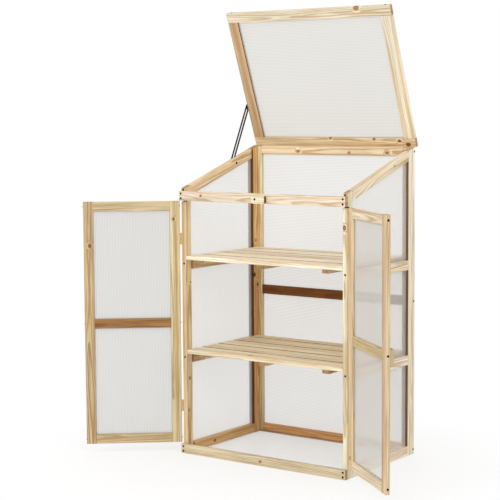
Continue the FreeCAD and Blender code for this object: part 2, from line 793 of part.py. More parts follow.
def frame_screws():
    """Screws of the standing frame: short ones through boards, long ones through posts."""
    post_x = half_width - front_post_width / 2.0
    stile_x = half_width - bearer_width / 2.0
    front = post_front - board_thickness
    mid_back = (post_back + back_face) / 2.0
    middle = rail_height / 2.0
    slope_front = front_top_rail_top + slope_screw_rise
    slope_back = roof_height(back_bay) - sloping_rail_height / math.cos(pitch) / 2.0
    back_rails = (middle, back_middle_rail_top - middle, roof_height(back_face) - middle)
    screws = []
    for side in (-1, 1):
        for rail_middle in (middle, front_top_rail_top - middle):
            for rise in (-rail_screw_spread, rail_screw_spread):
                screws.append((vec(side * post_x, front, rail_middle + rise), Y_AXIS, short_screw))
        screws.append((vec(side * post_x, post_front, slope_front), Y_AXIS, long_screw))
        for z in [middle + rail_screw_spread] + shelf_screw_heights() + [slope_back]:
            screws.append((vec(side * stile_x, back_face, z), vec(0, -1, 0), long_screw))
        for z in back_rails:
            screws.append((vec(side * half_width, mid_back, z), vec(-side, 0, 0), long_screw))
    spare = stay_bolt_point()
    screws.append((vec(half_width, spare.y, spare.z), vec(-1, 0, 0), side_screw))
    return screws


def build():
    """Every piece of the greenhouse, by the name of its node."""
    nodes = {}
    for name, solid in side_frame().items():
        nodes["right_" + name] = solid
        nodes["left_" + name] = mirrored(solid)
    nodes.update(front_rails())
    nodes.update(back_frame())
    nodes["floor_panel"] = floor_panel()

    sunk_screws = sunk_post_screws()
    for point, into, size in sunk_screws:
        post = "left_front_post" if point.x < 0.0 else "right_front_post"
        nodes[post] = nodes[post].cut(sunk_hole(point, into, size))
    screws = frame_screws() + sunk_screws + [rail_button_screw()]
    frame_leaves = []
    pins = []
    hinges = [door_hinge(side, height) for side in (-1, 1) for height in door_hinge_heights]
    hinges += [lid_hinge(x) for x in (-lid_hinge_offset, lid_hinge_offset)]
    for parts in hinges:
        frame_leaves.append(parts["fixed_leaf"])
        pins.append(parts["pin"])
        screws.extend(parts["fixed_screws"])
    nodes["frame_hinge_leaves"] = Part.makeCompound(frame_leaves)
    bolt = stay_bolt_point()
    bolt_hole = (vec(-half_width, bolt.y, bolt.z), X_AXIS, (stay_bolt_radius, 0.0, 0.0, sloping_rail_width))
    drill(nodes, screws + [bolt_hole])
    nodes["frame_screws"] = screw_group(screws)
    nodes["hinge_pins"] = Part.makeCompound(pins)
    nodes["stay_bolt"] = stay_bolt()
    nodes["stay_wing_nut"] = stay_wing_nut()

    for level, top in (("lower", lower_shelf_rail_top), ("upper", upper_shelf_rail_top)):
        for name, solid in shelf(top).items():
            nodes[f"{level}_shelf_{name}"] = solid
    for label, side, opening in (("left", -1, left_door_open), ("right", 1, right_door_open)):
        for name, solid in door(side, opening).items():
            nodes[f"{label}_door_{name}"] = solid
    for name, solid in lid().items():
        nodes["lid_" + name] = solid
    nodes["lid_screws"] = Part.makeCompound(nodes["lid_screws"].Solids + [stay_pivot_screw()])
    nodes["stay_arm"] = stay_arm()
    nodes["rail_turn_button"] = rail_button()
    nodes["door_turn_button"] = door_button()
    return nodes


os.makedirs("parts", exist_ok=True)
for node, solid in sorted(build().items()):
    solid.exportStep(f"parts/{node}.step")
    bounds = solid.BoundBox
    print(f"{node:26s} solids {len(solid.Solids):3d}  volume {solid.Volume / 1000.0:9.1f} cm3  "
          f"x {bounds.XMin:8.1f} {bounds.XMax:8.1f}  y {bounds.YMin:8.1f} {bounds.YMax:8.1f}  "
          f"z {bounds.ZMin:8.1f} {bounds.ZMax:8.1f}  valid {solid.isValid()}")
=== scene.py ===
import json
import math
import random

import bmesh
import bpy
import numpy as np
from mathutils import Matrix, Vector

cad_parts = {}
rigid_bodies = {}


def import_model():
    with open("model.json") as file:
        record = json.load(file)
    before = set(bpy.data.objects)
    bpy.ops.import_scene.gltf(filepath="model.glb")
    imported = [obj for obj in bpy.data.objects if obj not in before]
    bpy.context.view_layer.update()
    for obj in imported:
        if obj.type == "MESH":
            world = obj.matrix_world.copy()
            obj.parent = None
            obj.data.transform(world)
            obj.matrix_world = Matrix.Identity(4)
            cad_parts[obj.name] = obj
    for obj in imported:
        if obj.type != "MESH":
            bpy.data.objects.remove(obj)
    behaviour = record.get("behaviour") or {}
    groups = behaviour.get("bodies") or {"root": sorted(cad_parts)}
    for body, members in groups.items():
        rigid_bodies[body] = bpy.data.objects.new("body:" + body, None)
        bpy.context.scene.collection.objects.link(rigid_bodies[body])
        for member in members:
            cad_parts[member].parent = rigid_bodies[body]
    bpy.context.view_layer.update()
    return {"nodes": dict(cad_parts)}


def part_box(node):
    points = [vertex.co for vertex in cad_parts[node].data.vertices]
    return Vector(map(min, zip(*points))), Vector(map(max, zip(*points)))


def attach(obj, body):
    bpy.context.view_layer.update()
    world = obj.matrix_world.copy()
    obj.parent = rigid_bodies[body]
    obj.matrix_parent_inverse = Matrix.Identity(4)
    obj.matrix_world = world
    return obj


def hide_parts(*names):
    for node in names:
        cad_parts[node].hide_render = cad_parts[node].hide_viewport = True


for leftover in list(bpy.data.objects):
    bpy.data.objects.remove(leftover)
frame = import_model()

# Side frames: two posts and four rails a side, of planed pine with eased edges,
# held together by screws through the rail ends. Every timber is cut from its own
# board, so each has its own grain, heart and tone.
MM = 0.001
UP, RIGHT, BACK = Vector((0, 0, 1)), Vector((1, 0, 0)), Vector((0, 1, 0))
FRONT = -BACK


def linear(hex_colour):
    """An sRGB hex colour as linear RGBA."""
    rgb = [int(hex_colour[i:i + 2], 16) / 255.0 for i in (1, 3, 5)]
    return tuple(c / 12.92 if c <= 0.04045 else ((c + 0.055) / 1.055) ** 2.4 for c in rgb) + (1.0,)


def add(tree, kind, values=None, **settings):
    """A node with its settings and links. A value may be a socket, or a node for its first output."""
    node = tree.nodes.new(kind)
    for name, value in settings.items():
        setattr(node, name, value)
    for socket, value in (values or {}).items():
        if isinstance(value, bpy.types.Node):
            value = value.outputs[0]
        if isinstance(value, bpy.types.NodeSocket):
            tree.links.new(value, node.inputs[socket])
        else:
            node.inputs[socket].default_value = value
    return node


def group_tree(name, kind, inputs, outputs):
    """An empty node group. Returns the tree, the sockets that it is given and those that it makes."""
    tree = bpy.data.node_groups.new(name, kind)
    for direction, sockets in (("INPUT", inputs), ("OUTPUT", outputs)):
        for label, content in sockets:
            tree.interface.new_socket(label, in_out=direction, socket_type="NodeSocket" + content)
    return tree, tree.nodes.new("NodeGroupInput").outputs, tree.nodes.new("NodeGroupOutput").inputs


def blank_material(name):
    """A new material and its emptied tree."""
    material = bpy.data.materials.new(name)
    material.use_nodes = True
    material.node_tree.nodes.clear()
    return material, material.node_tree


def growth_rings():
    """Growth rings round a heart that lies beside the board. The grain runs along the local X.

    The blots of each noise have a real length and width in mm. Real fibres are
    finer than a picture shows, so they are drawn coarser than real."""
    tree, given, made = group_tree(
        "Pine growth rings", "ShaderNodeTree",
        (("Place", "Vector"), ("Heart", "Vector"), ("Ring gap", "Float"), ("Seed", "Float"),
         ("Early wood", "Color"), ("Late wood", "Color"), ("Ring depth", "Float")),
        (("Colour", "Color"), ("Height", "Float"), ("Late", "Float")))
    bend_size, ripple_size = 30.0 * MM, 3.0 * MM
    half_wander = (bend_size + ripple_size) / 2.0

    def along_grain(length, width, detail, roughness=0.5):
        """Noise with blots that are so many mm long and wide."""
        per_metre = (1.0 / (length * MM), 1.0 / (width * MM), 1.0 / (width * MM))
        stretched = add(tree, "ShaderNodeVectorMath", {0: given["Place"], 1: per_metre},
                        operation="MULTIPLY")
        return add(tree, "ShaderNodeTexNoise",
                   {"Vector": stretched, "W": given["Seed"], "Scale": 1.0, "Detail": detail,
                    "Roughness": roughness}, noise_dimensions="4D")

    # No trunk grows straight: the rings bend slowly and ripple finely along the board.
    bend = add(tree, "ShaderNodeVectorMath",
               {0: along_grain(625.0, 142.9, 1.0).outputs["Color"], 1: (0.0, bend_size, bend_size)},
               operation="MULTIPLY")
    ripple = add(tree, "ShaderNodeVectorMath",
                 {0: along_grain(111.1, 16.67, 2.0).outputs["Color"], 1: (0.0, ripple_size, ripple_size)},
                 operation="MULTIPLY")
    wander = add(tree, "ShaderNodeVectorMath", {0: bend, 1: ripple}, operation="ADD")
    centred = add(tree, "ShaderNodeVectorMath", {0: wander, 1: (0.0, half_wander, half_wander)},
                  operation="SUBTRACT")
    from_heart = add(tree, "ShaderNodeVectorMath", {0: given["Place"], 1: given["Heart"]},
                     operation="SUBTRACT")
    wavy = add(tree, "ShaderNodeVectorMath", {0: from_heart, 1: centred}, operation="ADD")
    across = add(tree, "ShaderNodeVectorMath", {0: wavy, 1: (0.0, 1.0, 1.0)}, operation="MULTIPLY")
    radius = add(tree, "ShaderNodeVectorMath", {0: across}, operation="LENGTH").outputs["Value"]

    # Each year starts pale, browns from a third of its way on and ends sharply. Some years stay paler.
    age = add(tree, "ShaderNodeMath", {0: radius, 1: given["Ring gap"]}, operation="DIVIDE")
    year = add(tree, "ShaderNodeMath", {0: age}, operation="FLOOR")
    season = add(tree, "ShaderNodeMath", {0: age}, operation="FRACT")
    browning = add(tree, "ShaderNodeMapRange", {"Value": season, "From Min": 0.35, "From Max": 0.90},
                   interpolation_type="SMOOTHSTEP")
    ending = add(tree, "ShaderNodeMapRange",
                 {"Value": season, "From Min": 0.92, "From Max": 1.0, "To Min": 1.0, "To Max": 0.0},
                 interpolation_type="SMOOTHSTEP")
    weather = add(tree, "ShaderNodeTexWhiteNoise", {"Vector": given["Heart"], "W": year},
                  noise_dimensions="4D").outputs["Value"]
    year_depth = add(tree, "ShaderNodeMapRange", {"Value": weather, "To Min": 0.45, "To Max": 1.0})
    brown_part = add(tree, "ShaderNodeMath", {0: browning, 1: ending}, operation="MULTIPLY")
    late = add(tree, "ShaderNodeMath", {0: brown_part, 1: year_depth}, operation="MULTIPLY")

    # Narrow streaks and broad bands darken it further.
    streaks = add(tree, "ShaderNodeMapRange",
                  {"Value": along_grain(200.0, 7.692, 4.0, 0.6), "From Min": 0.36, "From Max": 0.66,
                   "To Min": 0.0, "To Max": 0.62})
    bands = add(tree, "ShaderNodeMapRange",
                {"Value": along_grain(1111.0, 18.18, 1.0), "From Min": 0.50, "From Max": 0.66,
                 "To Min": 0.0, "To Max": 0.50})
    ring_share = add(tree, "ShaderNodeMath", {0: late, 1: given["Ring depth"]}, operation="MULTIPLY")
    ring_or_streak = add(tree, "ShaderNodeMath", {0: ring_share, 1: streaks}, operation="ADD")
    darker = add(tree, "ShaderNodeMath", {0: ring_or_streak, 1: bands}, operation="ADD")
    wood = add(tree, "ShaderNodeMix", {0: darker, 6: given["Early wood"], 7: given["Late wood"]},
               data_type="RGBA").outputs[2]

    # Patches and fibres are uneven in tone. Late wood and fibres stand a little proud of the rest.
    patches = add(tree, "ShaderNodeMapRange",
                  {"Value": along_grain(384.6, 38.46, 3.0), "From Min": 0.3, "From Max": 0.7,
                   "To Min": 0.84, "To Max": 1.12})
    fibres = along_grain(14.29, 0.5882, 2.0)
    fine = add(tree, "ShaderNodeMapRange",
               {"Value": fibres, "From Min": 0.3, "From Max": 0.7, "To Min": 0.975, "To Max": 1.02})
    shade = add(tree, "ShaderNodeMath", {0: patches, 1: fine}, operation="MULTIPLY")
    shaded = add(tree, "ShaderNodeVectorMath", {0: wood, "Scale": shade}, operation="SCALE")
    ring_height = add(tree, "ShaderNodeMath", {0: late, 1: 0.35}, operation="MULTIPLY")
    fibre_height = add(tree, "ShaderNodeMath", {0: fibres, 1: 0.65}, operation="MULTIPLY")
    height = add(tree, "ShaderNodeMath", {0: ring_height, 1: fibre_height}, operation="ADD")
    for name, node in (("Colour", shaded), ("Height", height), ("Late", late)):
        tree.links.new(node.outputs[0], made[name])
    return tree


def knot_in_grain():
    """A branch that went through the board: the rings bend round it.

    Reach is the distance from its middle, in knot radii."""
    tree, given, made = group_tree(
        "Pine knot", "ShaderNodeTree",
        (("Place", "Vector"), ("Bent place", "Vector"), ("Middle", "Vector"), ("Flatten", "Vector"),
         ("Radius", "Float")),
        (("Bent place", "Vector"), ("Reach", "Float")))
    away = add(tree, "ShaderNodeVectorMath", {0: given["Place"], 1: given["Middle"]}, operation="SUBTRACT")
    flat = add(tree, "ShaderNodeVectorMath", {0: away, 1: given["Flatten"]}, operation="MULTIPLY")
    far = add(tree, "ShaderNodeVectorMath", {0: flat}, operation="LENGTH").outputs["Value"]
    reach = add(tree, "ShaderNodeMath", {0: far, 1: given["Radius"]}, operation="DIVIDE")
    near = add(tree, "ShaderNodeMapRange",
               {"Value": reach, "From Min": 0.6, "From Max": 4.0, "To Min": 1.0, "To Max": 0.0},
               interpolation_type="SMOOTHSTEP")
    push = add(tree, "ShaderNodeMath", {0: near, 1: given["Radius"]}, operation="MULTIPLY")
    pushed = add(tree, "ShaderNodeCombineXYZ", {"Y": push, "Z": push})
    bent = add(tree, "ShaderNodeVectorMath", {0: given["Bent place"], 1: pushed}, operation="ADD")
    tree.links.new(bent.outputs[0], made["Bent place"])
    tree.links.new(reach.outputs[0], made["Reach"])
    return tree


RING_TREE, KNOT_TREE = growth_rings(), knot_in_grain()
# Early wood is paler than the board seen from afar, late wood browner.
EARLY_SHARE, LATE_SHARE = (1.30, 1.34, 1.46), (0.73, 0.60, 0.46)
PALEST_WOOD = 0.95
END_GRAIN = (0.62, 0.48, 0.35)
KNOT_FLATTEN = (0.72, 1.0, 0.0)
BARK, INNER_BARK, KNOT_RIM, NEAR_KNOT = "#5A3419", "#4F2C14", "#A87442", "#C08E58"
# How far apart in the trunk, in metres, two boards of a row may come from
BOARD_SPREAD = (2.0, 0.06, 0.02)


def own_boards(tree, where, place, row, seed):
    """Moves each board of a row to its own stretch of wood. Returns the place and a chance value."""
    axis, first_edge, step = row
    split = add(tree, "ShaderNodeSeparateXYZ", {0: where.outputs["Object"]})
    from_first = add(tree, "ShaderNodeMath", {0: split.outputs[axis], 1: first_edge * MM},
                     operation="SUBTRACT")
    steps = add(tree, "ShaderNodeMath", {0: from_first, 1: step * MM}, operation="DIVIDE")
    index = add(tree, "ShaderNodeMath", {0: steps}, operation="FLOOR")
    chance = add(tree, "ShaderNodeTexWhiteNoise", {"W": index, "Vector": (seed, 0.3, 0.7)},
                 noise_dimensions="4D").outputs
    shift = add(tree, "ShaderNodeVectorMath", {0: chance["Color"], 1: BOARD_SPREAD}, operation="MULTIPLY")
    moved = add(tree, "ShaderNodeVectorMath", {0: place, 1: shift}, operation="ADD")
    return moved.outputs[0], chance["Value"]


def painted_knot(tree, colour, reach, hue):
    """A knot over the wood: its hue inside, a dark ring of bark round it, then browner wood."""
    cover = add(tree, "ShaderNodeMapRange",
                {"Value": reach, "From Min": 0.95, "From Max": 1.9, "To Min": 1.0, "To Max": 0.0},
                interpolation_type="SMOOTHSTEP")
    over_two_radii = add(tree, "ShaderNodeMath", {0: reach, 1: 0.5}, operation="MULTIPLY")
    hues = add(tree, "ShaderNodeValToRGB", {0: over_two_radii})
    hues.color_ramp.elements[0].color = linear(hue)
    hues.color_ramp.elements[1].color = linear(NEAR_KNOT)
    for share, ring_hue in ((0.34, hue), (0.46, BARK), (0.54, INNER_BARK), (0.62, KNOT_RIM)):
        hues.color_ramp.elements.new(share).color = linear(ring_hue)
    return add(tree, "ShaderNodeMix", {0: cover, 6: colour, 7: hues}, data_type="RGBA").outputs[2]


def tinted(tree, colour, share, tint):
    """The colour, multiplied by a tint as far as the share says."""
    product = add(tree, "ShaderNodeVectorMath", {0: colour, 1: tint}, operation="MULTIPLY")
    return add(tree, "ShaderNodeMix", {0: share, 6: colour, 7: product}, data_type="RGBA").outputs[2]


def sawn_and_shaded_side(tree, where, colour, way, tint, depth):
    """Painted shade, on some boards with darker sawn wood: darkens the side that looks one way and lies
    more than so many mm behind the origin.
    """
    towards = add(tree, "ShaderNodeVectorMath", {0: where.outputs["Normal"], 1: tuple(way)},
                  operation="DOT_PRODUCT").outputs["Value"]
    facing = add(tree, "ShaderNodeMapRange", {"Value": towards, "From Min": 0.6, "From Max": 0.95})
    split = add(tree, "ShaderNodeSeparateXYZ", {0: where.outputs["Object"]})
    deep = add(tree, "ShaderNodeMapRange",
               {"Value": split.outputs["Y"], "From Min": depth * MM, "From Max": (depth + 4.0) * MM})
    share = add(tree, "ShaderNodeMath", {0: facing, 1: deep}, operation="MULTIPLY")
    return tinted(tree, colour, share, tint)


def pine(node, grain, face, seed, tone, knots=(), row=None, depth=0.85, sawn_and_shade=None):
    """Planed pine for one timber, or a row of like ones: matt, with brown rings and fine fibres.

    Grain is the way its length runs, face the way its wide side looks, tone the
    board's colour seen from afar and depth how much its rings show. Knots are
    (place in mm, radius in mm, colour), row is (axis, first edge, step) in mm, and
    the last one is (way it looks, tint, depth in mm) of a side painted darker:
    painted shade, on some boards with darker sawn wood as well."""
    low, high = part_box(node)
    middle = (Vector(low) + Vector(high)) / 2.0
    x_way, z_way = grain.normalized(), face.normalized()
    turn = Matrix((x_way, z_way.cross(x_way), z_way)).transposed()
    rng = random.Random(seed)
    board = linear(tone)
    early = tuple(min(PALEST_WOOD, c * k) for c, k in zip(board, EARLY_SHARE)) + (1.0,)
    late = tuple(c * k for c, k in zip(board, LATE_SHARE)) + (1.0,)

    material, tree = blank_material("Planed pine, " + node.replace("_", " "))
    where = add(tree, "ShaderNodeTexCoord")
    straight = add(tree, "ShaderNodeMapping",
                   {"Vector": where.outputs["Object"], "Location": tuple(middle),
                    "Rotation": tuple(turn.to_euler())}, vector_type="TEXTURE").outputs[0]
    place = straight
    heart = (0.0, rng.uniform(-30.0 * MM, 30.0 * MM), -rng.uniform(22.0 * MM, 60.0 * MM))
    if row:
        place, chance = own_boards(tree, where, place, row, seed)
    reaches = []
    for knot_place, size, hue in knots:
        on_board = turn.inverted() @ (Vector(knot_place) * MM - middle)
        knot = add(tree, "ShaderNodeGroup",
                   {"Place": straight, "Bent place": place, "Middle": tuple(on_board),
                    "Flatten": KNOT_FLATTEN, "Radius": size * MM}, node_tree=KNOT_TREE)
        place = knot.outputs["Bent place"]
        reaches.append((knot.outputs["Reach"], hue))
    ring_gap = rng.uniform(2.6 * MM, 4.0 * MM)
    rings = add(tree, "ShaderNodeGroup",
                {"Place": place, "Heart": heart, "Ring gap": ring_gap, "Seed": float(seed),
                 "Early wood": early, "Late wood": late, "Ring depth": depth}, node_tree=RING_TREE)
    colour = rings.outputs["Colour"]
    if row:
        bright = add(tree, "ShaderNodeMapRange", {"Value": chance, "To Min": 0.95, "To Max": 1.04})
        colour = add(tree, "ShaderNodeVectorMath", {0: colour, "Scale": bright},
                     operation="SCALE").outputs[0]
    for reach, hue in reaches:
        colour = painted_knot(tree, colour, reach, hue)
    # Painted shade on one side, on some boards with darker sawn wood
    if sawn_and_shade:
        colour = sawn_and_shaded_side(tree, where, colour, *sawn_and_shade)
    # End grain drinks more and looks browner.
    lengthwise = add(tree, "ShaderNodeVectorMath", {0: where.outputs["Normal"], 1: tuple(x_way)},
                     operation="DOT_PRODUCT").outputs["Value"]
    either_end = add(tree, "ShaderNodeMath", {0: lengthwise}, operation="ABSOLUTE")
    end = add(tree, "ShaderNodeMapRange", {"Value": either_end, "From Min": 0.8, "From Max": 0.95})
    colour = tinted(tree, colour, end, END_GRAIN)
    rough = add(tree, "ShaderNodeMapRange",
                {"Value": rings.outputs["Late"], "To Min": 0.66, "To Max": 0.52})
    relief = add(tree, "ShaderNodeBump",
                 {"Height": rings.outputs["Height"], "Strength": 0.25, "Distance": 0.4 * MM})
    surface = add(tree, "ShaderNodeBsdfPrincipled",
                  {"Base Color": colour, "Roughness": rough, "IOR": 1.5, "Specular IOR Level": 0.35,
                   "Normal": relief})
    add(tree, "ShaderNodeOutputMaterial", {"Surface": surface})
    frame["nodes"][node].material_slots[0].material = material


# Boards from the pale outside of the trunk are cream, those nearer its heart browner.
CREAM, SAPWOOD, STRAW, HONEY, TAN = "#EEE1C4", "#E9DBBB", "#DFD0B2", "#DEC69D", "#C6AA82"
BRANCH, RESIN = "#6A4020", "#9A6534"
# Painted shade: the slot at the front posts' notch is painted near black, and the back posts' front sides,
# in the corner by the side sheets, dark brown.
SLOT_SHADE = (0.05, 0.03, 0.02)
LEFT_CORNER_SHADE, RIGHT_CORNER_SHADE = (0.14, 0.08, 0.04), (0.22, 0.13, 0.06)
EVERYWHERE, BEHIND_NOTCH = -1000.0, 14.0

# Painted shade: the front posts' front sides behind the notch are painted near black, for the slot's shade
pine("left_front_post", UP, RIGHT, 11, "#D6BF94", sawn_and_shade=(FRONT, SLOT_SHADE, BEHIND_NOTCH),
     knots=(((-360, 25, 296), 2.6, BRANCH), ((-360, 17, 169), 2.2, "#7A4A26"),
            ((-360, 33, 675), 2.4, BRANCH)))
pine("right_front_post", UP, FRONT, 12, SAPWOOD, sawn_and_shade=(FRONT, SLOT_SHADE, BEHIND_NOTCH),
     knots=(((367.6, 8, 920), 5.0, "#B4783F"),))
# Painted shade: the back posts' front sides are darkened all over, for the corner by the sheets
pine("left_back_post", UP, RIGHT, 13, "#E6BB80", sawn_and_shade=(FRONT, LEFT_CORNER_SHADE, EVERYWHERE),
     knots=(((-352, 464, 807), 3.2, BRANCH), ((-352, 454, 664), 5.5, "#43220F"),
            ((-352, 474, 622), 4.5, "#4A2814")))
pine("right_back_post", UP, RIGHT, 14, CREAM, sawn_and_shade=(FRONT, RIGHT_CORNER_SHADE, EVERYWHERE))

ROOF_PITCH = 17.7
slope_way = Vector((0, math.cos(math.radians(ROOF_PITCH)), math.sin(math.radians(ROOF_PITCH))))
RAIL_TONES = {"left_bottom_rail": "#D9B27A", "left_lower_shelf_rail": TAN, "left_upper_shelf_rail": TAN,
              "left_sloping_rail": HONEY, "right_bottom_rail": "#F1E3CC",
              "right_lower_shelf_rail": "#F1E3CC", "right_upper_shelf_rail": STRAW,
              "right_sloping_rail": STRAW}
RAIL_KNOTS = {"left_bottom_rail": (((-352, 173, 20), 5.0, RESIN),)}
for side, outwards, first_seed in (("left", -RIGHT, 20), ("right", RIGHT, 40)):
    for rail, way, order in (("bottom_rail", BACK, 0), ("lower_shelf_rail", BACK, 1),
                             ("upper_shelf_rail", BACK, 2), ("sloping_rail", slope_way, 5)):
        node = f"{side}_{rail}"
        pine(node, way, outwards, first_seed + order, RAIL_TONES[node], knots=RAIL_KNOTS.get(node, ()))

# Front boards: two planed pine boards lapped over the front posts and screwed
# on, the upper one let a little into them. The doors close between the two.
pine("front_top_rail", RIGHT, FRONT, 51, "#DFCEB3", depth=0.6, knots=(((-273, -5, 1016), 3.0, "#B08048"),))
pine("front_bottom_rail", RIGHT, FRONT, 52, "#CDC09F", knots=(((0, -8, 17), 3.4, "#A9743E"),))

# Back frame: two pine stiles and three rails round two sheets, lapped on the
# back posts and screwed on. The middle rail is a board of dark heartwood, its tone darkened further as
# painted shade.
HEARTWOOD_AND_SHADE = "#7B4A10"
pine("back_left_stile", UP, FRONT, 61, "#EAD6AC")
pine("back_right_stile", UP, FRONT, 62, "#F2E6CD")
pine("back_top_rail", RIGHT, FRONT, 63, "#E4CBA6",
     knots=(((263, 482, 1174), 4.6, "#B67E48"), ((-153, 482, 1177), 4.2, "#C08A55"),
            ((90, 482, 1172), 2.6, "#B67E48")))
pine("back_middle_rail", RIGHT, FRONT, 64, HEARTWOOD_AND_SHADE)
pine("back_bottom_rail", RIGHT, FRONT, 65, "#DBA66C")

# Shelves: five planed pine slats on three battens, screwed from below. Each
# shelf lies loose on its side rails. Each slat and batten is its own board.
OLIVE = "#C9B88E"
SLAT_ROW, BATTEN_ROW = (1, 103.25, 104.5), (0, -143.0, 286.0)
# Painted shade in the gaps between slats: the front edges behind the first slat's front are darkened
SLAT_GAP_SHADE, BEHIND_FRONT_EDGE = (0.32, 0.20, 0.12), 12.0
for shelf, seed, tone, knots in (("lower_shelf", 70, "#FFE2BC", (((-71, 32, 410), 5.0, RESIN),)),
                                 ("upper_shelf", 74, "#FAE5C4", ())):
    pine(f"{shelf}_slats", RIGHT, UP, seed, tone, row=SLAT_ROW, knots=knots, depth=0.65,
         sawn_and_shade=(FRONT, SLAT_GAP_SHADE, BEHIND_FRONT_EDGE))
    pine(f"{shelf}_battens", BACK, UP, seed + 1, OLIVE, row=BATTEN_ROW)

# Doors: stiles and rails of planed pine, screwed through the stiles' edges and
# hinged on the outer one. The photo shows them swung wide open.
CHESTNUT = "#956C3D"
DOOR_OPEN = {"left": -140.0, "right": 141.5}
DOOR_SEEDS = {"left": 80, "right": 90}
# Tones of the hinge stile, the free stile, and the top, middle and bottom rail
DOOR_TONES = {"left": (OLIVE, "#BEA77D", "#C9B892", CHESTNUT, "#C9B892"),
              "right": (HONEY, "#CEB995", STRAW, OLIVE, STRAW)}
DOOR_KNOTS = {"left_door_hinge_stile": (((-406, -10, 923), 3.0, BARK),),
              "left_door_free_stile": (((-655, -220, 822), 4.2, "#8A5730"),),
              "right_door_hinge_stile": (((429, -28, 420), 4.0, "#7A4A26"),
                                         ((398, -3, 85), 4.0, "#8A5A30"))}
door_swing = {side: Matrix.Rotation(math.radians(angle), 3, "Z") for side, angle in DOOR_OPEN.items()}
for side, swing in door_swing.items():
    parts = (("hinge_stile", UP), ("free_stile", UP), ("top_rail", swing @ RIGHT),
             ("middle_rail", swing @ RIGHT), ("bottom_rail", swing @ RIGHT))
    for order, (part, way) in enumerate(parts):
        node = f"{side}_door_{part}"
        pine(node, way, swing @ FRONT, DOOR_SEEDS[side] + order, DOOR_TONES[side][order],
             knots=DOOR_KNOTS.get(node, ()))

# Lid: two full-width pine rails and two stiles round one sheet, hinged on the
# back rail and held open by the stay. Its hinge rail is the knottiest board.
LID_OPEN = 86.6
# Painted shade, with darker sawn wood: the left stile's inner side beside the recessed sheet
LID_EDGE_SAWN_AND_SHADE = (0.32, 0.21, 0.12)
lid_turn = Matrix.Rotation(math.radians(ROOF_PITCH - LID_OPEN), 3, "X")
lid_up, lid_face = lid_turn @ BACK, lid_turn @ UP
pine("lid_front_rail", RIGHT, lid_face, 101, "#D9CDB0", knots=(((230, 305, 1722), 6.0, "#B98A58"),))
pine("lid_hinge_rail", RIGHT, lid_face, 102, HONEY,
     knots=(((309, 499, 1220), 4.0, "#6F4322"), ((346, 504, 1207), 6.0, "#8A4A26"),
            ((196, 496, 1227), 3.0, "#6F4322"), ((-7, 495, 1231), 3.4, BARK)))
pine("lid_left_stile", lid_up, lid_face, 103, TAN, sawn_and_shade=(RIGHT, LID_EDGE_SAWN_AND_SHADE, EVERYWHERE))
pine("lid_right_stile", lid_up, lid_face, 104, "#F6E9C6")

# Turn buttons: two blocks of pine with rounded corners, each on one screw. The
# upper one holds both doors shut, the lower one laps over the left door.
# Painted shade on the rail button's right end, over its browner end grain
BUTTON_END_GRAIN_AND_SHADE = (0.32, 0.21, 0.12)
pine("rail_turn_button", RIGHT, FRONT, 111, SAPWOOD, depth=0.6, sawn_and_shade=(RIGHT, BUTTON_END_GRAIN_AND_SHADE, EVERYWHERE))
pine("door_turn_button", UP, door_swing["right"] @ FRONT, 112, "#B8B08A")

# Twin-wall sheets: extruded opal polycarbonate, 4 mm thick, two thin walls joined
# by ribs 6 mm apart, held in grooves. Milky: light comes through, shapes only as
# hints. The ribs show as faint lines, because they let less light through.
RIB_STEP = 6.0 * MM
# A rib is full up to this share of the step on each side of it, and fades out up to that one.
RIB_CORE, RIB_EDGE = 0.06, 0.20
CLOUD_SIZE = 434.8 * MM
OPAL, PALE_RIB, GREY_RIB, DOOR_RIB = "#FFFFFE", "#E0E2E2", "#BEC2C2", "#B0B5B5"


